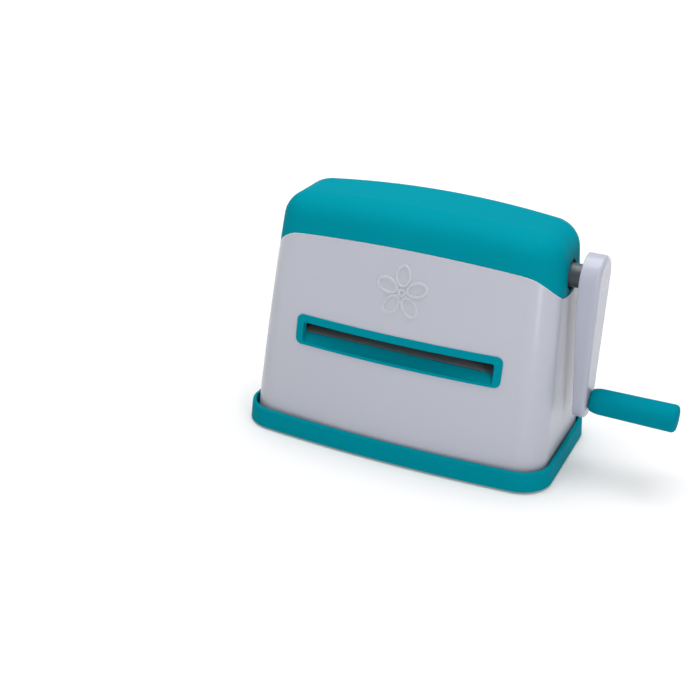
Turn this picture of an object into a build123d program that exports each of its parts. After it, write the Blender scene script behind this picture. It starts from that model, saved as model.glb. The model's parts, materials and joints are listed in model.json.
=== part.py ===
from build123d import *
from math import acos, cos, pi, sin, sqrt, tan
import os

# Hand-cranked roller machine for cutting and embossing paper. Millimetres, +Z up, +X towards the
# crank, -Y towards the user. The origin is on the table, under the middle of the base.

# Base tray
FOOT_LIFT = 1.5                 # underside of the tray above the table
BASE_HALF_LENGTH = 129.0
BASE_HALF_DEPTH = 73.2          # at the middle of the bowed front and back
BASE_BOW_RADIUS = 1156.0
BASE_CORNER_RADIUS = 27.3
RIM_HEIGHT = 15.6
RIM_DRAFT = 1.2                 # the rim leans in by this much over its height
RIM_THICKNESS = 2.8             # leaves the housing 0.5 mm clear inside the rim
RIM_OUTER_ROUND = 1.8
RIM_INNER_ROUND = 0.7
TRAY_FLOOR = 3.0
PAD_HEIGHT = 3.0                # raised pads that carry the side frames
PAD_LENGTH = 34.0
PAD_DEPTH = 82.0
PAD_CORNER = 3.0
PAD_SHIFT = 8.0                 # pads sit this far inside the frame plates
FLOOR_Z = FOOT_LIFT + TRAY_FLOOR
PAD_Z = FLOOR_Z + PAD_HEIGHT

# Body form, shared by the housing halves and the cover
WALL = 2.6
FORM_REFERENCE_Z = 86.6
FORM_HALF_LENGTH = 119.4        # at the reference height
FORM_HALF_DEPTH = 59.5          # at the reference height, at the middle of the bow
SIDE_TAPER = 0.056
FRONT_TAPER = 0.144
FRONT_CURVE = 0.00039           # the front leans back a little faster towards the top
FORM_BOW_RADIUS = 887.0
FORM_CORNER_RADIUS = 23.7
FORM_SECTIONS = (FLOOR_Z, 72.0, 140.0, 215.0)
ROOF_TOP = 195.6
ROOF_RADIUS = 1000.0
ROOF_ROUND = 22.0
REACH = 150.0                   # longer than any half size of the body, for cutting tools

# Parting line between the cover and the housing
PARTING_TOP = 168.0
PARTING_RADIUS = 980.0
TONGUE_START = 88.0             # the side tongues begin this far from the middle
TONGUE_POINTS = ((-49.0, 177.0), (-41.6, 164.05), (-38.0, 158.1), (-27.5, 147.8), (0.0, 141.4),
                 (27.5, 147.8), (38.0, 158.1), (41.6, 164.05), (49.0, 177.0))
PARTING_GAP = 0.3
SEAM_GAP = 0.2

# Gear train and rollers
MODULE = 2.0
PRESSURE_ANGLE = 20.0
BACKLASH = 0.30
PINION_TEETH = 16
DRIVE_TEETH = 27
SYNC_TEETH = 22
CRANK_Z = 156.5
UPPER_Z = CRANK_Z - MODULE * (PINION_TEETH + DRIVE_TEETH) / 2
LOWER_Z = UPPER_Z - MODULE * SYNC_TEETH
ROLLER_RADIUS = 17.0
ROLLER_HALF_LENGTH = 81.5
ROLLER_SHAFT_RADIUS = 7.0
CRANK_SHAFT_RADIUS = 6.0
RUNNING_CLEARANCE = 0.05
SYNC_X = 90.0                   # inner face of the timing gears
DRIVE_X = 101.0                 # inner face of the pinion and the drive gear
GEAR_WIDTH = 8.0
KEY_SIZE = 4.0
RING_WIDTH = 3.0                # how far a retaining ring stands out of its shaft
RING_GROOVE = 0.8
RING_THICKNESS = 1.0
SHAFT_CHAMFER = 0.6
SHAFT_END_X = 92.5

# Side frames
FRAME_X = 84.0
FRAME_THICKNESS = 4.0
FRAME_OUTER_X = FRAME_X + FRAME_THICKNESS
FRAME_OUTLINE = ((-38.0, PAD_Z), (38.0, PAD_Z), (38.0, 100.0), (26.0, 172.0),
                 (-26.0, 172.0), (-38.0, 100.0))
FLANGE_WIDTH = 20.0
FLANGE_DEPTH = 76.0
FRAME_CORNER = 10.0
BUSH_WALL = 3.0
BUSH_FLANGE = 5.0               # the flange is this much larger than the shaft, in radius
BUSH_OUT = 1.0                  # how far a bush stands out of its frame
FLANGE_OF_BUSH = 1.8
TABLE_TOP_Z = 86.2              # a little below the head of the ramp
TABLE_THICKNESS = 2.4
TABLE_NEAR_Y = 13.0             # clear of the lower roller
TABLE_FAR_Y = 49.6
TABLE_HALF_LENGTH = 82.0
TIE_RADIUS = 5.0
TABLE_BAR_Z = TABLE_TOP_Z - TABLE_THICKNESS - TIE_RADIUS
TIE_BARS = ((-28.0, 30.0), (28.0, 30.0), (-26.0, 148.0), (26.0, 148.0),
            (-30.0, TABLE_BAR_Z), (30.0, TABLE_BAR_Z))
TIE_SCREW_RADIUS = 2.5
FRAME_SCREW_RADIUS = 2.0
FRAME_SCREW_HEAD = 4.0
FRAME_SCREW_POCKET = 4.4
FRAME_SCREW_PLACES = [(x, y) for x in (-70.0, 70.0) for y in (-30.0, 30.0)]

# Feed slot
BEZEL_HALF_LENGTH = 85.0
BEZEL_LOW_Z = 78.2
BEZEL_HIGH_Z = 102.2
BEZEL_PROUD = 1.3
BEZEL_CORNER = 5.0
BEZEL_ROUND = 0.8
SLEEVE_STEP = 2.0               # the sleeve is this much smaller than the visible frame
SLEEVE_END_Y = 50.0
SLOT_HALF_LENGTH = 79.0
SLOT_LOW_Z = 80.6
SLOT_HIGH_Z = 96.6
SLOT_CORNER = 2.0
RAMP_TOP_Z = LOWER_Z + ROLLER_RADIUS - 0.2
RAMP_FOOT_Y = 57.0
RAMP_HEAD_Y = 51.2

# Emblem moulded on the front: a flower of five outlined petals
EMBLEM_Z = 136.5
PETALS = 5
PETAL_CENTRE = 12.6
PETAL_HALF_LENGTH = 8.6
PETAL_HALF_WIDTH = 5.9
EMBLEM_LINE = 1.5
EMBLEM_PROUD = 0.8

# Crank
COLLAR_RADIUS = 9.2
ARM_INNER_X = 125.5
ARM_OUTER_X = 141.0
ARM_HUB_RADIUS = 19.0
ARM_END_RADIUS = 15.0
ARM_LENGTH = 98.6
ARM_EDGE = 3.6
ARM_INNER_EDGE = 0.8
ARM_THIN_X = 131.4              # inner face at the handle end
ARM_TAPER_START_Z = 142.0
SHAFT_TIP_X = 134.0
FLAT_CENTRE_Z = CRANK_Z + CRANK_SHAFT_RADIUS + 3.4    # middle of the cutter for the shaft's flat
FLAT_CUTTER = (20.0, 10.0)
ARM_SCREW_RADIUS = 2.5
ARM_CAP_RADIUS = 7.0
SPINDLE_THREAD_RADIUS = 3.0
COLLAR_SCREW_X = 118.5
COLLAR_SCREW_RADIUS = 2.0
GRIP_CAP_RADIUS = 10.8
GRIP_CAP_LENGTH = 4.0
GRIP_Z = CRANK_Z - ARM_LENGTH
GRIP_START_X = 141.6
GRIP_END_X = 209.0
GRIP_SHOULDER = (150.0, 10.2)       # where the grip reaches its full thickness, as (x, radius)
SPINDLE_RADIUS = 4.0
SPINDLE_HEAD_X = 199.0
SPINDLE_HEAD_RADIUS = 6.0

# Shaft hole in the cover
HOLE_RADIUS = 11.6
GROMMET_FLANGE_RADIUS = 14.0
GROMMET_BORE = COLLAR_RADIUS + 0.3

# Housing screws, as (x, z) of each boss, and base screws, as (x, y)
BOSS_PLACES = ((-76.0, 138.0), (76.0, 138.0), (-104.0, 28.0), (104.0, 28.0))
BOSS_RADIUS = 4.0
HOUSING_SCREW_RADIUS = 1.5
HOUSING_SCREW_HEAD = 2.8
HOUSING_SCREW_POCKET = 2.9
BASE_SCREW_HEAD = 3.2
BASE_SCREW_POCKET = 3.4
BASE_BOSS_RADIUS = 5.0
BASE_BOSS_HEIGHT = 20.0
BASE_SCREW_LENGTH = 14.0
HOUSING_SCREW_HEAD_Y = 14.0
BASE_SCREW_PLACES = [(x, y) for x in (-116.0, 116.0) for y in (-30.0, 30.0)]
FOOT_PLACES = [(x, y) for x in (-104.0, 104.0) for y in (-48.0, 48.0)]
FOOT_RADIUS = 9.0
CENTRE_FOOT_RADIUS = 16.0
FOOT_POCKET = 1.5

os.makedirs("parts", exist_ok=True)


def save(part, name):
    """Label a finished piece and write it as its own STEP file."""
    part.label = name
    export_step(part, f"parts/{name}.step")


def bowed_face(height, half_length, half_depth, bow_radius, corner_radius):
    """Level face with straight ends, bowed long sides and round corners."""
    end_depth = half_depth - (bow_radius - sqrt(bow_radius**2 - half_length**2))
    with BuildSketch(Plane.XY.offset(height)) as face:
        with BuildLine():
            ThreePointArc((-half_length, -end_depth), (0, -half_depth), (half_length, -end_depth))
            Line((half_length, -end_depth), (half_length, end_depth))
            ThreePointArc((half_length, end_depth), (0, half_depth), (-half_length, end_depth))
            Line((-half_length, end_depth), (-half_length, -end_depth))
        make_face()
        fillet(face.vertices(), corner_radius)
    return face.sketch


def form_half_length(height):
    return FORM_HALF_LENGTH - SIDE_TAPER * (height - FORM_REFERENCE_Z)


def form_half_depth(height):
    rise = height - FORM_REFERENCE_Z
    return FORM_HALF_DEPTH - FRONT_TAPER * rise - FRONT_CURVE * rise**2


def body_form(inset):
    """Solid form of housing and cover together, smaller by inset on every side but the bottom."""
    sections = []
    for height in FORM_SECTIONS:
        sections.append(bowed_face(height, form_half_length(height) - inset,
                                   form_half_depth(height) - inset,
                                   FORM_BOW_RADIUS - inset, FORM_CORNER_RADIUS - inset))
    roof_z = ROOF_TOP - inset
    eaves_z = roof_z - (ROOF_RADIUS - sqrt(ROOF_RADIUS**2 - REACH**2))
    with BuildPart() as form:
        loft(sections)
        with BuildSketch(Plane.XZ):
            with BuildLine():
                ThreePointArc((-REACH, eaves_z), (0, roof_z), (REACH, eaves_z))
                Polyline((REACH, eaves_z), (REACH, 0), (-REACH, 0), (-REACH, eaves_z))
            make_face()
        extrude(amount=REACH, both=True, mode=Mode.INTERSECT)
        roof = form.faces().sort_by(Axis.Z)[-1]
        fillet(roof.edges(), ROOF_ROUND - inset)
    return form.part


def above_parting(lift):
    """Everything that belongs to the cover: above a flat arch, and above a dip at each end."""
    end_z = PARTING_TOP + lift - (PARTING_RADIUS - sqrt(PARTING_RADIUS**2 - REACH**2))
    top_z = ROOF_TOP + REACH
    dip = [(y, z + lift) for y, z in TONGUE_POINTS]
    with BuildPart() as region:
        with BuildSketch(Plane.XZ):
            with BuildLine():
                ThreePointArc((-REACH, end_z), (0, PARTING_TOP + lift), (REACH, end_z))
                Polyline((REACH, end_z), (REACH, top_z), (-REACH, top_z), (-REACH, end_z))
            make_face()
        extrude(amount=REACH, both=True)
        for side in (-1, 1):
            with BuildSketch(Plane.YZ.offset(side * TONGUE_START)):
                with BuildLine():
                    Spline(*dip)
                    Line(dip[-1], dip[0])
                make_face()
            extrude(amount=side * (REACH - TONGUE_START))
    return region.part


def slot_prism(half_length, low_z, high_z, corner, near_y, far_y):
    """Round-cornered prism along Y, between two distances in front of the middle."""
    with BuildPart() as prism:
        with BuildSketch(Plane.XZ.offset(near_y)):
            with Locations((0, (low_z + high_z) / 2)):
                RectangleRounded(2 * half_length, high_z - low_z, corner)
        extrude(amount=far_y - near_y)
    return prism.part


def along_x(start_x, end_x, radius, axis_y, axis_z, bore=0.0):
    """Round bar or tube along X, between two places."""
    with BuildPart() as bar:
        with BuildSketch(Plane.YZ.offset(start_x)):
            with Locations((axis_y, axis_z)):
                Circle(radius)
                if bore:
                    Circle(bore, mode=Mode.SUBTRACT)
        extrude(amount=end_x - start_x)
    return bar.part


def key_bar(start_x, end_x, shaft_radius, axis_z):
    """Square key, half in the shaft and half in the gear."""
    with BuildPart() as key:
        with BuildSketch(Plane.YZ.offset(start_x)):
            with Locations((shaft_radius, axis_z)):
                Rectangle(KEY_SIZE, KEY_SIZE)
        extrude(amount=end_x - start_x)
    return key.part


def snap_ring(start_x, shaft_radius, axis_z):
    """Open retaining ring in a groove of the shaft."""
    with BuildPart() as ring:
        with BuildSketch(Plane.YZ.offset(start_x)):
            with Locations((0, axis_z)):
                Circle(shaft_radius + RING_WIDTH)
                Circle(shaft_radius - RING_GROOVE, mode=Mode.SUBTRACT)
            with Locations((0, axis_z - shaft_radius)):
                Rectangle(shaft_radius, 2 * shaft_radius - 2.0, mode=Mode.SUBTRACT)
        extrude(amount=RING_THICKNESS)
    return ring.part


def screw(head_radius, head_height, shank_radius, shank_length, plane):
    """Pan-head screw with a cross recess. Its shank runs along the plane's normal."""
    with BuildPart() as body:
        with BuildSketch(plane):
            Circle(shank_radius)
        extrude(amount=shank_length)
        with BuildSketch(plane):
            Circle(head_radius)
        extrude(amount=-head_height)
        head_face = body.faces().filter_by(plane).sort_by(Axis(plane.origin, plane.z_dir))[0]
        fillet(head_face.edges(), head_height * 0.4)
        with BuildSketch(plane.offset(-head_height)):
            Rectangle(head_radius * 1.1, head_radius * 0.26)
            Rectangle(head_radius * 0.26, head_radius * 1.1)
        extrude(amount=head_height * 0.5, mode=Mode.SUBTRACT)
    return body.part


def involute(angle):
    return tan(angle) - angle


def gear(teeth, start_x, axis_z, first_tooth, bore, hub_radius=0.0, hub_length=0.0):
    """Involute spur gear along X. first_tooth is the direction of one tooth, in radians from +Y."""
    pitch_radius = MODULE * teeth / 2
    base_radius = pitch_radius * cos(PRESSURE_ANGLE * pi / 180)
    tip_radius = pitch_radius + MODULE
    root_radius = pitch_radius - 1.25 * MODULE
    half_pitch_tooth = (pi * MODULE / 2 - BACKLASH / 2) / (2 * pitch_radius)
    flank_start = max(base_radius, root_radius)
    steps = 5

    def flank_angle(radius):
        roll = acos(min(1.0, base_radius / radius))
        return half_pitch_tooth + involute(PRESSURE_ANGLE * pi / 180) - involute(roll)

    def at(radius, angle):
        return (radius * cos(angle), radius * sin(angle))

    radii = [flank_start + (tip_radius - flank_start) * i / steps for i in range(steps + 1)]
    pitch_angle = 2 * pi / teeth
    with BuildPart() as wheel:
        with BuildSketch(Plane.YZ.offset(start_x)):
            with Locations((0, axis_z)):
                with BuildSketch(mode=Mode.PRIVATE) as outline:
                    with BuildLine():
                        for tooth in range(teeth):
                            middle = first_tooth + tooth * pitch_angle
                            rising = [at(r, middle - flank_angle(r)) for r in radii]
                            falling = [at(r, middle + flank_angle(r)) for r in reversed(radii)]
                            foot = at(root_radius, middle - flank_angle(flank_start))
                            heel = at(root_radius, middle + flank_angle(flank_start))
                            next_middle = middle + pitch_angle
                            next_foot = at(root_radius, next_middle - flank_angle(flank_start))
                            Line(foot, rising[0])
                            Spline(*rising)
                            ThreePointArc(rising[-1], at(tip_radius, middle), falling[0])
                            Spline(*falling)
                            Line(falling[-1], heel)
                            ThreePointArc(heel, at(root_radius, middle + pitch_angle / 2), next_foot)
                    make_face()
                add(outline.sketch)
                Circle(bore, mode=Mode.SUBTRACT)
        extrude(amount=GEAR_WIDTH)
        if hub_length:
            with BuildSketch(Plane.YZ.offset(start_x + GEAR_WIDTH)):
                with Locations((0, axis_z)):
                    Circle(hub_radius)
                    Circle(bore, mode=Mode.SUBTRACT)
            extrude(amount=hub_length)
        add(key_bar(start_x - 1, start_x + GEAR_WIDTH + hub_length + 1, bore, axis_z),
            mode=Mode.SUBTRACT)
    return wheel.part


def base_tray():
    top_z = FOOT_LIFT + RIM_HEIGHT
    outer_low = bowed_face(FOOT_LIFT, BASE_HALF_LENGTH, BASE_HALF_DEPTH,
                           BASE_BOW_RADIUS, BASE_CORNER_RADIUS)
    outer_high = bowed_face(top_z, BASE_HALF_LENGTH - RIM_DRAFT, BASE_HALF_DEPTH - RIM_DRAFT,
                            BASE_BOW_RADIUS, BASE_CORNER_RADIUS - RIM_DRAFT)
    inner = bowed_face(FLOOR_Z, BASE_HALF_LENGTH - RIM_DRAFT - RIM_THICKNESS,
                       BASE_HALF_DEPTH - RIM_DRAFT - RIM_THICKNESS,
                       BASE_BOW_RADIUS, BASE_CORNER_RADIUS - RIM_DRAFT - RIM_THICKNESS)
    with BuildPart() as tray:
        loft([outer_low, outer_high], ruled=True)
        extrude(inner, amount=RIM_HEIGHT, mode=Mode.SUBTRACT)
        rim = tray.faces().filter_by(Axis.Z).sort_by(Axis.Z)[-1]
        fillet(rim.outer_wire().edges(), RIM_OUTER_ROUND)
        narrow_rim = tray.faces().filter_by(Axis.Z).sort_by(Axis.Z)[-1]
        fillet(narrow_rim.inner_wires()[0].edges(), RIM_INNER_ROUND)
        with BuildSketch(Plane.XY.offset(FLOOR_Z)):
            with Locations((PAD_SHIFT - FRAME_X, 0), (FRAME_X - PAD_SHIFT, 0)):
                RectangleRounded(PAD_LENGTH, PAD_DEPTH, PAD_CORNER)
        extrude(amount=PAD_HEIGHT)
        with BuildSketch(Plane.XY.offset(FOOT_LIFT)):
            with Locations(*FRAME_SCREW_PLACES):
                Circle(FRAME_SCREW_RADIUS)
        extrude(amount=PAD_Z, mode=Mode.SUBTRACT)
        with BuildSketch(Plane.XY.offset(FOOT_LIFT)):
            with Locations(*FRAME_SCREW_PLACES):
                Circle(FRAME_SCREW_POCKET)
        extrude(amount=PAD_HEIGHT, mode=Mode.SUBTRACT)
        with BuildSketch(Plane.XY.offset(FOOT_LIFT)):
            with Locations(*BASE_SCREW_PLACES):
                Circle(HOUSING_SCREW_RADIUS)
        extrude(amount=TRAY_FLOOR, mode=Mode.SUBTRACT)
        with BuildSketch(Plane.XY.offset(FOOT_LIFT)):
            with Locations(*BASE_SCREW_PLACES):
                Circle(BASE_SCREW_POCKET)
            with Locations(*FOOT_PLACES):
                Circle(FOOT_RADIUS)
            Circle(CENTRE_FOOT_RADIUS)
        extrude(amount=FOOT_POCKET, mode=Mode.SUBTRACT)
    return tray.part


def feet(places, radius):
    """Rubber feet in the tray's pockets, level with the table below."""
    with BuildPart() as pads:
        with BuildSketch(Plane.XY):
            with Locations(*places):
                Circle(radius)
        extrude(amount=FOOT_LIFT + FOOT_POCKET)
        fillet(pads.faces().sort_by(Axis.Z)[:len(places)].edges(), 0.5)
    return pads.part


def side_frame():
    """Right-hand steel side frame: an upright plate with a foot bent inwards."""
    with BuildPart() as frame:
        with BuildSketch(Plane.YZ.offset(FRAME_X)) as plate:
            with BuildLine():
                Polyline(*FRAME_OUTLINE, close=True)
            make_face()
            fillet(plate.vertices().group_by(Axis.Y)[-1], FRAME_CORNER)
            with Locations((0, UPPER_Z), (0, LOWER_Z)):
                Circle(ROLLER_SHAFT_RADIUS + BUSH_WALL, mode=Mode.SUBTRACT)
            with Locations((0, CRANK_Z)):
                Circle(CRANK_SHAFT_RADIUS + BUSH_WALL, mode=Mode.SUBTRACT)
            with Locations(*TIE_BARS):
                Circle(TIE_SCREW_RADIUS, mode=Mode.SUBTRACT)
        extrude(amount=FRAME_THICKNESS)
        with BuildSketch(Plane.XY.offset(PAD_Z)):
            with Locations((FRAME_X - FLANGE_WIDTH / 2, 0)):
                Rectangle(FLANGE_WIDTH, FLANGE_DEPTH)
            with Locations(*[place for place in FRAME_SCREW_PLACES if place[0] > 0]):
                Circle(FRAME_SCREW_RADIUS, mode=Mode.SUBTRACT)
        extrude(amount=FRAME_THICKNESS)
    return frame.part


def feed_tables():
    """Flat plates front and rear that carry the stack level to the rollers."""
    with BuildPart() as tables:
        with BuildSketch(Plane.XY.offset(TABLE_TOP_Z - TABLE_THICKNESS)):
            for side in (-1, 1):
                with Locations((0, side * (TABLE_NEAR_Y + TABLE_FAR_Y) / 2)):
                    Rectangle(2 * TABLE_HALF_LENGTH, TABLE_FAR_Y - TABLE_NEAR_Y)
        extrude(amount=TABLE_THICKNESS)
    return tables.part


def bushes(places, shaft_radius):
    """Flanged bushes in both side frames, for shafts along X at the given heights."""
    with BuildPart() as group:
        for height in places:
            for side in (-1, 1):
                with BuildSketch(Plane.YZ.offset(side * (FRAME_X - FLANGE_OF_BUSH))):
                    with Locations((0, height)):
                        Circle(shaft_radius + BUSH_FLANGE)
                        Circle(shaft_radius + RUNNING_CLEARANCE, mode=Mode.SUBTRACT)
                extrude(amount=side * FLANGE_OF_BUSH)
                with BuildSketch(Plane.YZ.offset(side * FRAME_X)):
                    with Locations((0, height)):
                        Circle(shaft_radius + BUSH_WALL)
                        Circle(shaft_radius + RUNNING_CLEARANCE, mode=Mode.SUBTRACT)
                extrude(amount=side * (FRAME_THICKNESS + BUSH_OUT))
    return group.part


def housing_half(side, outer, inner, cover_region):
    """Front (side -1) or rear (side 1) half of the housing, with bosses and the slot's hole."""
    seam = Plane((0, side * SEAM_GAP / 2, 0), x_dir=(1, 0, 0), z_dir=(0, side, 0))
    hole = slot_prism(BEZEL_HALF_LENGTH - SLEEVE_STEP, BEZEL_LOW_Z + SLEEVE_STEP / 2,
                      BEZEL_HIGH_Z - SLEEVE_STEP / 2, BEZEL_CORNER - SLEEVE_STEP / 2, 30.0, 90.0)
    if side > 0:
        hole = mirror(hole, about=Plane.XZ)
    with BuildPart() as bosses:
        with BuildSketch(seam):
            with Locations(*[(x, -side * z) for x, z in BOSS_PLACES]):
                Circle(BOSS_RADIUS)
        extrude(amount=REACH)
        with BuildSketch(Plane.XY.offset(FLOOR_Z)):
            with Locations(*[place for place in BASE_SCREW_PLACES if place[1] * side > 0]):
                Circle(BASE_BOSS_RADIUS)
        extrude(amount=BASE_BOSS_HEIGHT)
        add(outer, mode=Mode.INTERSECT)
    with BuildPart() as half:
        add(outer)
        add(inner, mode=Mode.SUBTRACT)
        split(bisect_by=seam, keep=Keep.TOP)
        add(cover_region, mode=Mode.SUBTRACT)
        add(hole, mode=Mode.SUBTRACT)
        add(bosses.part)
        with BuildSketch(seam):
            with Locations(*[(x, -side * z) for x, z in BOSS_PLACES]):
                Circle(HOUSING_SCREW_RADIUS)
        extrude(amount=REACH if side > 0 else 16.0, mode=Mode.SUBTRACT)
        if side > 0:
            with BuildSketch(Plane.XZ.offset(-HOUSING_SCREW_HEAD_Y)):
                with Locations(*BOSS_PLACES):
                    Circle(HOUSING_SCREW_POCKET)
            extrude(amount=-REACH, mode=Mode.SUBTRACT)
        with BuildSketch(Plane.XY.offset(FLOOR_Z)):
            with Locations(*[place for place in BASE_SCREW_PLACES if place[1] * side > 0]):
                Circle(HOUSING_SCREW_RADIUS)
        extrude(amount=BASE_SCREW_LENGTH, mode=Mode.SUBTRACT)
    return half.part


def emblem(proud_form, sunk_form):
    """Raised outline of a five-petalled flower, following the front of the housing."""
    with BuildPart() as flower:
        with BuildSketch(Plane.XZ):
            with Locations((0, EMBLEM_Z)):
                with PolarLocations(PETAL_CENTRE, PETALS, start_angle=90):
                    Ellipse(PETAL_HALF_LENGTH, PETAL_HALF_WIDTH)
                    Ellipse(PETAL_HALF_LENGTH - EMBLEM_LINE, PETAL_HALF_WIDTH - EMBLEM_LINE,
                            mode=Mode.SUBTRACT)
                Circle(3.2)
                Circle(3.2 - EMBLEM_LINE, mode=Mode.SUBTRACT)
        extrude(amount=REACH)
        add(proud_form, mode=Mode.INTERSECT)
        add(sunk_form, mode=Mode.SUBTRACT)
    return flower.part


def top_cover(outer, inner, tab_inner, cover_region):
    """Domed cover with a tongue at each end and tabs that reach down inside the housing."""
    with BuildPart() as tabs:
        with Locations((-60, 0, 167), (0, 0, 167), (60, 0, 167)):
            Box(16, 2 * REACH, 16)
        add(inner, mode=Mode.INTERSECT)
        add(tab_inner, mode=Mode.SUBTRACT)
    with BuildPart() as cover:
        add(outer)
        add(inner, mode=Mode.SUBTRACT)
        add(cover_region, mode=Mode.INTERSECT)
        add(tabs.part)
        with BuildSketch(Plane.YZ.offset(FRAME_OUTER_X)):
            with Locations((0, CRANK_Z)):
                Circle(HOLE_RADIUS)
        extrude(amount=REACH, mode=Mode.SUBTRACT)
    return cover.part


def front_bezel(outer, proud_form):
    """Slot frame: a lip on the housing's face, a sleeve through it and a ramp along its floor."""
    lip = slot_prism(BEZEL_HALF_LENGTH, BEZEL_LOW_Z, BEZEL_HIGH_Z, BEZEL_CORNER,
                     SLEEVE_END_Y, 80.0)
    sleeve = slot_prism(BEZEL_HALF_LENGTH - SLEEVE_STEP, BEZEL_LOW_Z + SLEEVE_STEP / 2,
                        BEZEL_HIGH_Z - SLEEVE_STEP / 2, BEZEL_CORNER - SLEEVE_STEP / 2,
                        SLEEVE_END_Y, 80.0)
    opening = slot_prism(SLOT_HALF_LENGTH, SLOT_LOW_Z, SLOT_HIGH_Z, SLOT_CORNER,
                         SLEEVE_END_Y - 1, 81.0)
    with BuildPart() as ramp:
        with BuildSketch(Plane.YZ.offset(-SLOT_HALF_LENGTH)):
            with BuildLine():
                Polyline((-RAMP_FOOT_Y, SLOT_LOW_Z), (-RAMP_HEAD_Y, RAMP_TOP_Z),
                         (-SLEEVE_END_Y, RAMP_TOP_Z), (-SLEEVE_END_Y, SLOT_LOW_Z - 0.5),
                         (-RAMP_FOOT_Y, SLOT_LOW_Z - 0.5), close=True)
            make_face()
        extrude(amount=2 * SLOT_HALF_LENGTH)
    with BuildPart() as bezel:
        add(lip)
        add(proud_form, mode=Mode.INTERSECT)
        add(outer, mode=Mode.SUBTRACT)
        add(sleeve & proud_form)
        add(opening, mode=Mode.SUBTRACT)
        add(ramp.part)
        framed = [face for face in bezel.faces() if len(face.inner_wires()) == 1]
        front_face = sorted(framed, key=lambda face: face.bounding_box().min.Y)[0]
        fillet(front_face.outer_wire().edges(), BEZEL_ROUND)
    return bezel.part


def roller_core(axis_z, end_x, key_end_x, ring_places):
    """Steel roller shaft with a keyway for its gears and grooves for its rings."""
    with BuildPart() as core:
        add(along_x(-SHAFT_END_X, end_x, ROLLER_SHAFT_RADIUS, 0, axis_z))
        chamfer(core.faces().filter_by(Axis.X).edges(), SHAFT_CHAMFER)
        add(key_bar(SYNC_X, key_end_x, ROLLER_SHAFT_RADIUS, axis_z), mode=Mode.SUBTRACT)
        for place in ring_places:
            add(along_x(place, place + RING_THICKNESS, ROLLER_SHAFT_RADIUS + 1, 0, axis_z,
                        bore=ROLLER_SHAFT_RADIUS - RING_GROOVE), mode=Mode.SUBTRACT)
    return core.part


def crank_shaft(ring_x):
    """Steel crank shaft with a ring groove, a keyway and a flat for the arm."""
    with BuildPart() as shaft:
        add(along_x(-SHAFT_END_X, SHAFT_TIP_X, CRANK_SHAFT_RADIUS, 0, CRANK_Z))
        chamfer(shaft.faces().filter_by(Axis.X).edges(), SHAFT_CHAMFER)
        add(key_bar(DRIVE_X, DRIVE_X + GEAR_WIDTH, CRANK_SHAFT_RADIUS, CRANK_Z),
            mode=Mode.SUBTRACT)
        add(along_x(ring_x, ring_x + RING_THICKNESS, CRANK_SHAFT_RADIUS + 1, 0, CRANK_Z,
                    bore=CRANK_SHAFT_RADIUS - RING_GROOVE), mode=Mode.SUBTRACT)
        with Locations((ARM_INNER_X + FLAT_CUTTER[1], 0, FLAT_CENTRE_Z)):
            Box(FLAT_CUTTER[0], FLAT_CUTTER[0], FLAT_CUTTER[1], mode=Mode.SUBTRACT)
        with Locations(Plane.YZ.offset(SHAFT_TIP_X)):
            with Locations((0, CRANK_Z)):
                Hole(ARM_SCREW_RADIUS, depth=12)
    return shaft.part


def crank_arm():
    """Paddle-shaped arm, thinner towards the handle, with soft edges."""
    with BuildPart() as arm:
        with BuildSketch(Plane.YZ.offset(ARM_INNER_X)):
            with Locations((0, CRANK_Z)):
                Circle(ARM_HUB_RADIUS)
            with Locations((0, GRIP_Z)):
                Circle(ARM_END_RADIUS)
            make_hull()
        extrude(amount=ARM_OUTER_X - ARM_INNER_X)
        with BuildSketch(Plane.XZ):
            with BuildLine():
                Polyline((ARM_INNER_X, ARM_TAPER_START_Z), (ARM_THIN_X, GRIP_Z),
                         (ARM_THIN_X, GRIP_Z - 2 * ARM_END_RADIUS),
                         (ARM_INNER_X - 5, GRIP_Z - 2 * ARM_END_RADIUS),
                         (ARM_INNER_X - 5, ARM_TAPER_START_Z), close=True)
            make_face()
        extrude(amount=REACH, both=True, mode=Mode.SUBTRACT)
        outer_face = arm.faces().sort_by(Axis.X)[-1]
        fillet(outer_face.edges(), ARM_EDGE)
        inner_faces = [face for face in arm.faces() if face.normal_at().X < -0.9]
        inner_edges = [edge for face in inner_faces for edge in face.edges()
                       if abs(edge.center().Z - ARM_TAPER_START_Z) > 1.0]
        fillet(inner_edges, ARM_INNER_EDGE)
        with BuildSketch(Plane.YZ.offset(ARM_INNER_X)):
            with Locations((0, CRANK_Z)):
                Circle(CRANK_SHAFT_RADIUS)
            with Locations((0, FLAT_CENTRE_Z)):
                Rectangle(*FLAT_CUTTER, mode=Mode.SUBTRACT)
        extrude(amount=SHAFT_TIP_X - ARM_INNER_X, mode=Mode.SUBTRACT)
        with Locations(Plane.YZ.offset(ARM_OUTER_X)):
            with Locations((0, CRANK_Z)):
                CounterBoreHole(ARM_SCREW_RADIUS, ARM_CAP_RADIUS, 4.0)
            with Locations((0, GRIP_Z)):
                Hole(SPINDLE_THREAD_RADIUS)
        with BuildSketch(Plane.YZ.offset(ARM_INNER_X)):
            with Locations((0, GRIP_Z)):
                RegularPolygon(5.2, 6, major_radius=False)
        extrude(amount=ARM_THIN_X - ARM_INNER_X + 4.0, mode=Mode.SUBTRACT)
    return arm.part


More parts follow.
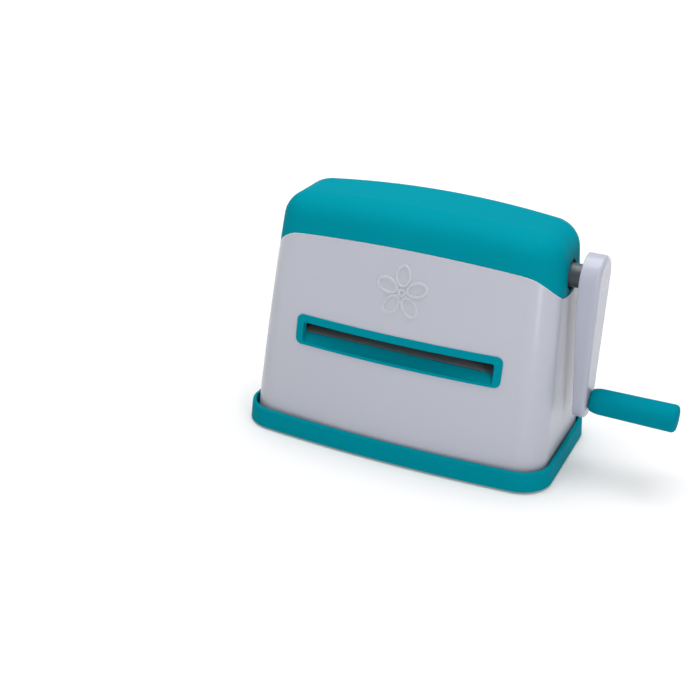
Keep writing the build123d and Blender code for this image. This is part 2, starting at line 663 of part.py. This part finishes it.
def handle_grip():
    """Soft grip that turns on its spindle: a slight cone, closing in towards the arm."""
    cap_x = GRIP_END_X - GRIP_CAP_LENGTH
    with BuildPart() as grip:
        with BuildSketch(Plane.XZ):
            with Locations((0, GRIP_Z)):
                with BuildSketch(mode=Mode.PRIVATE) as profile:
                    with BuildLine():
                        Line((GRIP_START_X, 0), (GRIP_START_X, 6.6))
                        ThreePointArc((GRIP_START_X, 6.6), (GRIP_START_X + 0.5, 7.9),
                                      (GRIP_START_X + 1.6, 8.8))
                        ThreePointArc((GRIP_START_X + 1.6, 8.8), (GRIP_START_X + 4.9, 9.82),
                                      GRIP_SHOULDER)
                        Line(GRIP_SHOULDER, (cap_x, GRIP_CAP_RADIUS))
                        Polyline((cap_x, GRIP_CAP_RADIUS), (cap_x, 0), (GRIP_START_X, 0))
                    make_face()
                add(profile.sketch)
        revolve(axis=Axis((0, 0, GRIP_Z), (1, 0, 0)))
        add(along_x(GRIP_START_X - 1, SPINDLE_HEAD_X, SPINDLE_RADIUS + RUNNING_CLEARANCE, 0, GRIP_Z),
            mode=Mode.SUBTRACT)
        add(along_x(SPINDLE_HEAD_X - 0.3, cap_x + 1, SPINDLE_HEAD_RADIUS + 0.4, 0, GRIP_Z),
            mode=Mode.SUBTRACT)
    return grip.part


def grip_end_cap():
    """Domed cap on the outer end of the grip, with a plug that snaps into its bore."""
    cap_x = GRIP_END_X - GRIP_CAP_LENGTH
    with BuildPart() as cap:
        add(along_x(cap_x, GRIP_END_X, GRIP_CAP_RADIUS, 0, GRIP_Z))
        fillet(cap.faces().sort_by(Axis.X)[-1].edges(), 3.6)
        add(along_x(cap_x - 2.0, cap_x, SPINDLE_HEAD_RADIUS + 0.4, 0, GRIP_Z, bore=5.0))
    return cap.part


# Base and feet
save(base_tray(), "base_tray")
save(feet(FOOT_PLACES, FOOT_RADIUS), "corner_feet")
save(feet([(0, 0)], CENTRE_FOOT_RADIUS), "centre_foot")

# Steel frame
right_frame = side_frame()
save(right_frame, "right_side_frame")
save(mirror(right_frame, about=Plane.YZ), "left_side_frame")
save(bushes((UPPER_Z, LOWER_Z), ROLLER_SHAFT_RADIUS), "roller_bushes")
save(bushes((CRANK_Z,), CRANK_SHAFT_RADIUS), "crank_bushes")

with BuildPart() as tie_bars:
    for bar_y, bar_z in TIE_BARS:
        add(along_x(-FRAME_X, FRAME_X, TIE_RADIUS, bar_y, bar_z))
        add(along_x(-FRAME_X, 14 - FRAME_X, TIE_SCREW_RADIUS, bar_y, bar_z), mode=Mode.SUBTRACT)
        add(along_x(FRAME_X - 14, FRAME_X, TIE_SCREW_RADIUS, bar_y, bar_z), mode=Mode.SUBTRACT)
save(tie_bars.part, "tie_bars")

save(feed_tables(), "feed_tables")

with BuildPart() as tie_bar_screws:
    for bar_y, bar_z in TIE_BARS:
        for side in (-1, 1):
            add(screw(4.5, 3.0, TIE_SCREW_RADIUS, 16.0,
                      Plane((side * FRAME_OUTER_X, bar_y, bar_z), z_dir=(-side, 0, 0))))
save(tie_bar_screws.part, "tie_bar_screws")

with BuildPart() as frame_screws:
    for place_x, place_y in FRAME_SCREW_PLACES:
        add(screw(FRAME_SCREW_HEAD, 2.6, FRAME_SCREW_RADIUS, 12.0,
                  Plane((place_x, place_y, FLOOR_Z), z_dir=(0, 0, 1))))
save(frame_screws.part, "frame_screws")

with BuildPart() as frame_nuts:
    with BuildSketch(Plane.XY.offset(PAD_Z + FRAME_THICKNESS)):
        with Locations(*FRAME_SCREW_PLACES):
            RegularPolygon(3.5, 6, major_radius=False)
            Circle(FRAME_SCREW_RADIUS, mode=Mode.SUBTRACT)
    extrude(amount=3.2)
save(frame_nuts.part, "frame_nuts")

# Housing, cover and bezels
outer_form = body_form(0.0)
inner_form = body_form(WALL)
front_half = housing_half(-1, outer_form, inner_form, above_parting(0.0))
with BuildPart() as front_housing:
    add(front_half)
    add(emblem(body_form(-EMBLEM_PROUD), body_form(WALL / 2)))
save(front_housing.part, "front_housing")
save(housing_half(1, outer_form, inner_form, above_parting(0.0)), "rear_housing")
save(top_cover(outer_form, inner_form, body_form(WALL + 2.0), above_parting(PARTING_GAP)),
     "top_cover")
slot_frame = front_bezel(outer_form, body_form(-BEZEL_PROUD))
save(slot_frame, "front_bezel")
save(mirror(slot_frame, about=Plane.XZ), "rear_bezel")

with BuildPart() as housing_screws:
    for place_x, place_z in BOSS_PLACES:
        add(screw(HOUSING_SCREW_HEAD, 2.4, HOUSING_SCREW_RADIUS, 28.0,
                  Plane((place_x, HOUSING_SCREW_HEAD_Y, place_z), z_dir=(0, -1, 0))))
save(housing_screws.part, "housing_screws")

with BuildPart() as base_screws:
    for place_x, place_y in BASE_SCREW_PLACES:
        add(screw(BASE_SCREW_HEAD, 1.4, HOUSING_SCREW_RADIUS, BASE_SCREW_LENGTH,
                  Plane((place_x, place_y, FOOT_LIFT + FOOT_POCKET), z_dir=(0, 0, 1))))
save(base_screws.part, "base_screws")

with BuildPart() as shaft_grommet:
    add(along_x(109.6, 111.2, GROMMET_FLANGE_RADIUS, 0, CRANK_Z, bore=GROMMET_BORE))
    add(along_x(111.2, 113.4, HOLE_RADIUS - 0.2, 0, CRANK_Z, bore=GROMMET_BORE))
save(shaft_grommet.part, "shaft_grommet")

# Upper roller
LEFT_RING_X = -FRAME_OUTER_X - BUSH_OUT - 1.2
UPPER_RING_X = DRIVE_X + GEAR_WIDTH + 0.2
LOWER_RING_X = SYNC_X + GEAR_WIDTH + 0.2
save(roller_core(UPPER_Z, 111.6, DRIVE_X + GEAR_WIDTH, (LEFT_RING_X, UPPER_RING_X)),
     "upper_roller_core")
save(along_x(-ROLLER_HALF_LENGTH, ROLLER_HALF_LENGTH, ROLLER_RADIUS, 0, UPPER_Z,
             bore=ROLLER_SHAFT_RADIUS), "upper_roller_sleeve")
save(gear(DRIVE_TEETH, DRIVE_X, UPPER_Z, pi / 2 + pi / DRIVE_TEETH, ROLLER_SHAFT_RADIUS),
     "upper_drive_gear")
save(gear(SYNC_TEETH, SYNC_X, UPPER_Z, -pi / 2, ROLLER_SHAFT_RADIUS,
          hub_radius=12.0, hub_length=DRIVE_X - SYNC_X - GEAR_WIDTH), "upper_timing_gear")
save(key_bar(SYNC_X, DRIVE_X + GEAR_WIDTH, ROLLER_SHAFT_RADIUS, UPPER_Z), "upper_gear_key")
with BuildPart() as upper_rings:
    add(snap_ring(LEFT_RING_X, ROLLER_SHAFT_RADIUS, UPPER_Z))
    add(snap_ring(UPPER_RING_X, ROLLER_SHAFT_RADIUS, UPPER_Z))
save(upper_rings.part, "upper_retaining_rings")

# Lower roller
save(roller_core(LOWER_Z, 100.6, SYNC_X + GEAR_WIDTH, (LEFT_RING_X, LOWER_RING_X)),
     "lower_roller_core")
save(along_x(-ROLLER_HALF_LENGTH, ROLLER_HALF_LENGTH, ROLLER_RADIUS, 0, LOWER_Z,
             bore=ROLLER_SHAFT_RADIUS), "lower_roller_sleeve")
save(gear(SYNC_TEETH, SYNC_X, LOWER_Z, pi / 2 + pi / SYNC_TEETH, ROLLER_SHAFT_RADIUS),
     "lower_timing_gear")
save(key_bar(SYNC_X, SYNC_X + GEAR_WIDTH, ROLLER_SHAFT_RADIUS, LOWER_Z), "lower_gear_key")
with BuildPart() as lower_rings:
    add(snap_ring(LEFT_RING_X, ROLLER_SHAFT_RADIUS, LOWER_Z))
    add(snap_ring(LOWER_RING_X, ROLLER_SHAFT_RADIUS, LOWER_Z))
save(lower_rings.part, "lower_retaining_rings")

# Crank
save(crank_shaft(LEFT_RING_X), "crank_shaft")
save(snap_ring(LEFT_RING_X, CRANK_SHAFT_RADIUS, CRANK_Z), "crank_retaining_ring")
save(gear(PINION_TEETH, DRIVE_X, CRANK_Z, -pi / 2, CRANK_SHAFT_RADIUS), "crank_pinion")
save(key_bar(DRIVE_X, DRIVE_X + GEAR_WIDTH, CRANK_SHAFT_RADIUS, CRANK_Z), "pinion_key")
save(along_x(FRAME_OUTER_X + BUSH_OUT + 0.3, DRIVE_X, 8.0, 0, CRANK_Z,
             bore=CRANK_SHAFT_RADIUS), "pinion_spacer")

with BuildPart() as hub_collar:
    add(along_x(DRIVE_X + GEAR_WIDTH, ARM_INNER_X, COLLAR_RADIUS, 0, CRANK_Z,
                bore=CRANK_SHAFT_RADIUS))
    with BuildSketch(Plane.XZ):
        with Locations((COLLAR_SCREW_X, CRANK_Z)):
            Circle(COLLAR_SCREW_RADIUS)
    extrude(amount=-REACH, mode=Mode.SUBTRACT)
save(hub_collar.part, "hub_collar")

with BuildPart() as collar_screw:
    with BuildSketch(Plane.XZ.offset(-CRANK_SHAFT_RADIUS)):
        with Locations((COLLAR_SCREW_X, CRANK_Z)):
            Circle(COLLAR_SCREW_RADIUS)
    extrude(amount=CRANK_SHAFT_RADIUS - COLLAR_RADIUS + 0.5)
    with BuildSketch(Plane.XZ.offset(0.5 - COLLAR_RADIUS)):
        with Locations((COLLAR_SCREW_X, CRANK_Z)):
            RegularPolygon(1.0, 6, major_radius=False)
    extrude(amount=1.2, mode=Mode.SUBTRACT)
save(collar_screw.part, "collar_screw")

save(crank_arm(), "crank_arm")
save(screw(4.6, 1.8, ARM_SCREW_RADIUS, 12.0, Plane((ARM_OUTER_X - 4.0, 0, CRANK_Z), z_dir=(-1, 0, 0))),
     "arm_screw")
save(along_x(ARM_OUTER_X - 1.6, ARM_OUTER_X, ARM_CAP_RADIUS, 0, CRANK_Z), "arm_cap")

# Handle
with BuildPart() as grip_spindle:
    add(along_x(ARM_THIN_X + 0.5, ARM_OUTER_X, SPINDLE_THREAD_RADIUS, 0, GRIP_Z))
    add(along_x(ARM_OUTER_X, SPINDLE_HEAD_X, SPINDLE_RADIUS, 0, GRIP_Z))
    add(along_x(SPINDLE_HEAD_X, SPINDLE_HEAD_X + 3.0, SPINDLE_HEAD_RADIUS, 0, GRIP_Z))
save(grip_spindle.part, "grip_spindle")

with BuildPart() as spindle_nut:
    with BuildSketch(Plane.YZ.offset(ARM_THIN_X)):
        with Locations((0, GRIP_Z)):
            RegularPolygon(5.0, 6, major_radius=False)
            Circle(SPINDLE_THREAD_RADIUS, mode=Mode.SUBTRACT)
    extrude(amount=4.0)
save(spindle_nut.part, "spindle_nut")
save(handle_grip(), "handle_grip")
save(grip_end_cap(), "grip_end_cap")
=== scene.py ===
import json
import math

import bpy
from mathutils import Matrix, Vector

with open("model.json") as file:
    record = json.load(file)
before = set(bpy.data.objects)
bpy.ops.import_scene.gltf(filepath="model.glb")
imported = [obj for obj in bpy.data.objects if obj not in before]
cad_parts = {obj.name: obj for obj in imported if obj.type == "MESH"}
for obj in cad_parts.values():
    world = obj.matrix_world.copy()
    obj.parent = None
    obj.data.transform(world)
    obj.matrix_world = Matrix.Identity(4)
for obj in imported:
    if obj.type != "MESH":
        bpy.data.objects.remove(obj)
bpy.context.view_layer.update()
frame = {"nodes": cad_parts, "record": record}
NODES = frame["nodes"]
SCENE = bpy.context.scene
SCENE.view_settings.view_transform = "Standard"
WHITE = (1.0, 1.0, 1.0, 1.0)

# ---------------------------------------------------------------- camera
CAMERA_AT = Vector((0.3201, -0.8740, 0.5005))
AZIMUTH, ELEVATION, ROLL = (math.radians(angle) for angle in (23.65, 25.13, 2.43))
LENS_MM = 65.118
SENSOR_MM = 36.0
CLIP_START = 0.05
CLIP_END = 50.0


def make_camera():
    forward = Vector((-math.sin(AZIMUTH) * math.cos(ELEVATION),
                      math.cos(AZIMUTH) * math.cos(ELEVATION), -math.sin(ELEVATION)))
    level = Vector((math.cos(AZIMUTH), math.sin(AZIMUTH), 0.0))
    upright = level.cross(forward)
    right = level * math.cos(ROLL) + upright * math.sin(ROLL)
    up = upright * math.cos(ROLL) - level * math.sin(ROLL)
    turn = Matrix((right, up, -forward)).transposed()
    data = bpy.data.cameras.new("camera")
    data.lens = LENS_MM
    data.sensor_width = SENSOR_MM
    data.clip_start = CLIP_START
    data.clip_end = CLIP_END
    camera = bpy.data.objects.new("camera", data)
    camera.matrix_world = Matrix.Translation(CAMERA_AT) @ turn.to_4x4()
    SCENE.collection.objects.link(camera)
    SCENE.camera = camera


# ---------------------------------------------------------------- materials
# Sockets of the mix node in colour mode. They share their names with the other modes' sockets.
MIX_FIRST, MIX_SECOND, MIX_RESULT = 6, 7, 2

# Cosine between the true normal and the rounded one, on a full edge and on a flat face.
EDGE_COSINE, FLAT_COSINE = 0.80, 0.995
SOFTEN_SAMPLES = 6
EDGE_SAMPLES = 4

# Noise scales are in cells per metre, depths and radii in metres.
MOTTLE_SCALE = 14.0
# Fine noise that breaks up the paler edges: edge wear on the other finishes, and a painted
# highlight on the housing and arm.
WEAR_AND_HIGHLIGHT_SCALE = 900.0
WEAR_AND_HIGHLIGHT_LOW, WEAR_AND_HIGHLIGHT_HIGH = 0.55, 1.0
RIPPLE_SCALE = 26.0
GLOSS_SCALE = 60.0
GLOSS_LOW, GLOSS_HIGH = 0.97, 1.03
MOULDED_SOFTNESS = 0.0006
MOULDED_EDGE = 0.0005

TOOL_MARK_SCALE = 1400.0
TONE_SCALE = 60.0
METAL_SOFTNESS = 0.0002
METAL_EDGE = 0.0003
METAL_EDGE_GAIN = 1.25
METAL_GLOSS_LOW, METAL_GLOSS_HIGH = 0.75, 1.35


class Surface:
    """One procedural material, built up from layers over a principled shader."""

    def __init__(self, name):
        self.material = bpy.data.materials.new(name)
        self.material.use_nodes = True
        self.tree = self.material.node_tree
        self.shader = self.tree.nodes["Principled BSDF"]
        self.place = self.add("ShaderNodeTexCoord").outputs["Object"]
        self.normal = None

    def add(self, kind, **settings):
        node = self.tree.nodes.new(kind)
        for key, value in settings.items():
            setattr(node, key, value)
        return node

    def join(self, output, socket):
        self.tree.links.new(output, socket)

    def soften(self, radius):
        """Shade sharp edges as if they were rounded by this radius."""
        bevel = self.add("ShaderNodeBevel", samples=SOFTEN_SAMPLES)
        bevel.inputs["Radius"].default_value = radius
        self.normal = bevel.outputs["Normal"]

    def edges(self, radius):
        """Near 0 on flat faces, rising to 1 along sharp edges."""
        bevel = self.add("ShaderNodeBevel", samples=EDGE_SAMPLES)
        bevel.inputs["Radius"].default_value = radius
        flat = self.add("ShaderNodeNewGeometry")
        dot = self.add("ShaderNodeVectorMath", operation="DOT_PRODUCT")
        self.join(bevel.outputs["Normal"], dot.inputs[0])
        self.join(flat.outputs["Normal"], dot.inputs[1])
        return self.spread(dot.outputs["Value"], 1.0, 0.0, EDGE_COSINE, FLAT_COSINE)

    def noise(self, scale, detail=4.0, stretch=(1.0, 1.0, 1.0)):
        """Noise of about this many cells per metre, drawn out along an axis by a small stretch."""
        mapping = self.add("ShaderNodeMapping")
        mapping.inputs["Scale"].default_value = stretch
        self.join(self.place, mapping.inputs["Vector"])
        texture = self.add("ShaderNodeTexNoise")
        texture.inputs["Scale"].default_value = scale
        texture.inputs["Detail"].default_value = detail
        self.join(mapping.outputs["Vector"], texture.inputs["Vector"])
        return texture.outputs["Fac"]

    def spread(self, value, low, high, start=0.3, end=0.7):
        """Stretch a value from start..end to low..high. The defaults suit noise."""
        node = self.add("ShaderNodeMapRange")
        node.inputs["From Min"].default_value = start
        node.inputs["From Max"].default_value = end
        node.inputs["To Min"].default_value = low
        node.inputs["To Max"].default_value = high
        self.join(value, node.inputs["Value"])
        return node.outputs["Result"]

    def mix(self, amount, first, second):
        node = self.add("ShaderNodeMix", data_type="RGBA")
        self.join(amount, node.inputs["Factor"])
        for socket, colour in ((MIX_FIRST, first), (MIX_SECOND, second)):
            if isinstance(colour, tuple):
                node.inputs[socket].default_value = (*colour, 1.0)
            else:
                self.join(colour, node.inputs[socket])
        return node.outputs[MIX_RESULT]

    def bump(self, height, distance):
        node = self.add("ShaderNodeBump")
        node.inputs["Distance"].default_value = distance
        node.inputs["Strength"].default_value = 1.0
        self.join(height, node.inputs["Height"])
        if self.normal is not None:
            self.join(self.normal, node.inputs["Normal"])
        self.normal = node.outputs["Normal"]

    def finish(self, colour, roughness, **constants):
        """Join the layers to the shader. Constants are set on its sockets by name."""
        self.join(colour, self.shader.inputs["Base Color"])
        self.join(roughness, self.shader.inputs["Roughness"])
        if self.normal is not None:
            self.join(self.normal, self.shader.inputs["Normal"])
        for name, value in constants.items():
            self.shader.inputs[name.replace("_", " ")].default_value = value
        return self.material


def moulded(name, colour, shade, worn, roughness, grain, grain_depth, ripple_depth=0.0,
            edge_width=MOULDED_EDGE, **constants):
    """Injection-moulded plastic or rubber: faint mottling, a spark-eroded grain and paler edges,
    which are edge wear on the other finishes and a painted highlight on the housing and arm.
    """
    s = Surface(name)
    mottled = s.mix(s.spread(s.noise(MOTTLE_SCALE, detail=3.0), 0.0, 1.0), colour, shade)
    edge = s.edges(edge_width)
    # Edges turn towards a paler colour, broken up by fine noise: edge wear on the other finishes,
    # and on the housing and arm a painted highlight that stands for light caught along their edges,
    # the parting line and the emblem.
    wear_and_highlight_mask = s.add("ShaderNodeMath", operation="MULTIPLY")
    s.join(edge, wear_and_highlight_mask.inputs[0])
    s.join(s.spread(s.noise(WEAR_AND_HIGHLIGHT_SCALE, detail=3.0), WEAR_AND_HIGHLIGHT_LOW, WEAR_AND_HIGHLIGHT_HIGH), wear_and_highlight_mask.inputs[1])
    s.soften(MOULDED_SOFTNESS)
    if ripple_depth:
        s.bump(s.noise(RIPPLE_SCALE, detail=1.0), ripple_depth)
    s.bump(s.noise(grain, detail=2.0), grain_depth)
    patchy = s.noise(GLOSS_SCALE, detail=3.0)
    gloss = s.spread(patchy, roughness * GLOSS_LOW, roughness * GLOSS_HIGH)
    return s.finish(s.mix(wear_and_highlight_mask.outputs[0], mottled, worn), gloss, **constants)


def metal(name, colour, shade, roughness, stretch, depth):
    """Metal with fine tool marks drawn out along one axis, and bright edges."""
    s = Surface(name)
    marks = s.noise(TOOL_MARK_SCALE, detail=3.0, stretch=stretch)
    toned = s.mix(s.spread(s.noise(TONE_SCALE, detail=5.0), 0.0, 1.0), colour, shade)
    s.soften(METAL_SOFTNESS)
    bright = tuple(min(1.0, c * METAL_EDGE_GAIN) for c in colour)
    s.bump(marks, depth)
    gloss = s.spread(marks, roughness * METAL_GLOSS_LOW, roughness * METAL_GLOSS_HIGH)
    return s.finish(s.mix(s.edges(METAL_EDGE), toned, bright), gloss, Metallic=1.0)


MOULDED = {
    "teal_plastic": dict(
        colour=(0.0002, 0.235, 0.300), shade=(0.0002, 0.227, 0.290), worn=(0.008, 0.330, 0.405),
        roughness=0.42, grain=2600.0, grain_depth=0.000012, Specular_IOR_Level=0.004),
    "teal_grip": dict(
        colour=(0.0002, 0.215, 0.282), shade=(0.0002, 0.206, 0.272), worn=(0.006, 0.26, 0.33),
        roughness=0.58, grain=2200.0, grain_depth=0.000022, Specular_IOR_Level=0.004),
    # The near-white edge colours of the housing and arm are a painted highlight along their edges,
    # the parting line and the emblem; edge_width widens it.
    "housing_plastic": dict(
        colour=(0.452, 0.462, 0.528), shade=(0.449, 0.459, 0.525), worn=(0.93, 0.94, 0.97),
        roughness=0.25, grain=1500.0, grain_depth=0.000002, ripple_depth=0.00003,
        edge_width=0.0008, Coat_Weight=0.06, Coat_Roughness=0.14, Specular_IOR_Level=0.30),
    "arm_plastic": dict(
        colour=(0.400, 0.411, 0.490), shade=(0.397, 0.408, 0.487), worn=(0.74, 0.75, 0.80),
        roughness=0.24, grain=1500.0, grain_depth=0.000002, ripple_depth=0.00004,
        edge_width=0.0008, Coat_Weight=0.06, Coat_Roughness=0.12, Specular_IOR_Level=0.30),
    "dark_plastic": dict(
        colour=(0.075, 0.090, 0.102), shade=(0.062, 0.075, 0.086), worn=(0.13, 0.14, 0.15),
        roughness=0.38, grain=1800.0, grain_depth=0.000015),
    "table_plastic": dict(
        colour=(0.34, 0.35, 0.37), shade=(0.30, 0.31, 0.33), worn=(0.50, 0.51, 0.53),
        roughness=0.34, grain=1600.0, grain_depth=0.000010),
    "roller_rubber": dict(
        colour=(0.090, 0.094, 0.102), shade=(0.075, 0.079, 0.087), worn=(0.14, 0.145, 0.15),
        roughness=0.42, grain=1200.0, grain_depth=0.000025),
    "foot_rubber": dict(
        colour=(0.020, 0.020, 0.021), shade=(0.028, 0.028, 0.029), worn=(0.06, 0.06, 0.06),
        roughness=0.72, grain=1600.0, grain_depth=0.000050),
    "gear_nylon": dict(
        colour=(0.70, 0.66, 0.56), shade=(0.64, 0.60, 0.49), worn=(0.80, 0.77, 0.68),
        roughness=0.36, grain=1500.0, grain_depth=0.000010),
}

METALS = {
    "frame_steel": dict(
        colour=(0.58, 0.59, 0.60), shade=(0.50, 0.51, 0.53), roughness=0.32,
        stretch=(1.0, 1.0, 0.05), depth=0.000010),
    "shaft_steel": dict(
        colour=(0.66, 0.66, 0.67), shade=(0.60, 0.60, 0.61), roughness=0.20,
        stretch=(1.0, 0.08, 0.08), depth=0.000004),
    "fastener_steel": dict(
        colour=(0.55, 0.55, 0.56), shade=(0.44, 0.44, 0.46), roughness=0.30,
        stretch=(0.3, 0.3, 0.3), depth=0.000008),
    "bronze": dict(
        colour=(0.66, 0.44, 0.22), shade=(0.55, 0.35, 0.17), roughness=0.34,
        stretch=(0.4, 0.4, 0.4), depth=0.000012),
}


def make_materials():
    materials = {name: moulded(name, **look) for name, look in MOULDED.items()}
    materials.update({name: metal(name, **look) for name, look in METALS.items()})
    return materials


def dress_nodes(materials):
    """Give every CAD node the finish that the record names for it."""
    for part in frame["record"]["subparts"]:
        data = NODES[part["node"]].data
        data.materials.clear()
        data.materials.append(materials[part["material_slot"]])


# ---------------------------------------------------------------- studio
FLOOR_HALF = 6.0
FLOOR_Z = -0.0004
FLOOR_COLOUR, FLOOR_SHADE = (0.74, 0.74, 0.745), (0.76, 0.76, 0.76)
FLOOR_ROUGHNESS = (0.75, 0.85)
FLOOR_MOTTLE_SCALE = 3.0
FLOOR_GLOSS_SCALE = 40.0

# The floor's glow, and how far from the machine it starts to rise and is full.
FLOOR_GLOW = (0.12, 1.0)
GLOW_REACH = (0.4, 1.5)

# World light by how far a direction leans towards -X or +X. It is brightest in front, behind
# and overhead, and dim at both sides.
WORLD_DIMMING = {"From Min": 0.2, "From Max": 0.9, "To Min": 0.52, "To Max": 0.08}

# Each softbox: name, place, width, height, watts. All of them face AIM.
AIM = (0.0, 0.0, 0.1)
SOFTBOXES = (
    ("overhead", (-0.1, 0.15, 1.5), 1.6, 1.2, 26.0),
    ("front_left", (-1.2, -1.3, 0.8), 0.8, 1.0, 1.4),
    ("right_strip", (1.15, -1.10, 0.55), 0.40, 1.2, 8.6),
)


def floor():
    """A pale floor that glows more with distance, up to plain white."""
    corners = [(x * FLOOR_HALF, y * FLOOR_HALF, FLOOR_Z)
               for x, y in ((-1, -1), (1, -1), (1, 1), (-1, 1))]
    mesh = bpy.data.meshes.new("floor")
    mesh.from_pydata(corners, [], [(0, 1, 2, 3)])
    s = Surface("floor_paint")
    distance = s.add("ShaderNodeVectorMath", operation="LENGTH")
    s.join(s.place, distance.inputs[0])
    glow = s.spread(distance.outputs["Value"], *FLOOR_GLOW, *GLOW_REACH)
    s.join(glow, s.shader.inputs["Emission Strength"])
    mesh.materials.append(s.finish(
        s.mix(s.noise(FLOOR_MOTTLE_SCALE), FLOOR_COLOUR, FLOOR_SHADE),
        s.spread(s.noise(FLOOR_GLOSS_SCALE), *FLOOR_ROUGHNESS), Emission_Color=WHITE))
    plane = bpy.data.objects.new("floor", mesh)
    SCENE.collection.objects.link(plane)


def softbox(name, place, width, height, power):
    data = bpy.data.lights.new(name, "AREA")
    data.shape = "RECTANGLE"
    data.size = width
    data.size_y = height
    data.energy = power
    lamp = bpy.data.objects.new(name, data)
    lamp.location = place
    lamp.rotation_mode = "QUATERNION"
    lamp.rotation_quaternion = (Vector(AIM) - Vector(place)).to_track_quat("-Z", "Y")
    SCENE.collection.objects.link(lamp)


def backdrop():
    world = bpy.data.worlds.new("studio")
    world.use_nodes = True
    tree = world.node_tree
    background = tree.nodes["Background"]
    background.inputs["Color"].default_value = WHITE
    direction = tree.nodes.new("ShaderNodeTexCoord").outputs["Generated"]
    split = tree.nodes.new("ShaderNodeSeparateXYZ")
    sideways = tree.nodes.new("ShaderNodeMath")
    sideways.operation = "ABSOLUTE"
    dimming = tree.nodes.new("ShaderNodeMapRange")
    for name, value in WORLD_DIMMING.items():
        dimming.inputs[name].default_value = value
    tree.links.new(direction, split.inputs["Vector"])
    tree.links.new(split.outputs["X"], sideways.inputs[0])
    tree.links.new(sideways.outputs[0], dimming.inputs["Value"])
    tree.links.new(dimming.outputs["Result"], background.inputs["Strength"])
    SCENE.world = world


make_camera()
dress_nodes(make_materials())
floor()
backdrop()
for box in SOFTBOXES:
    softbox(*box)
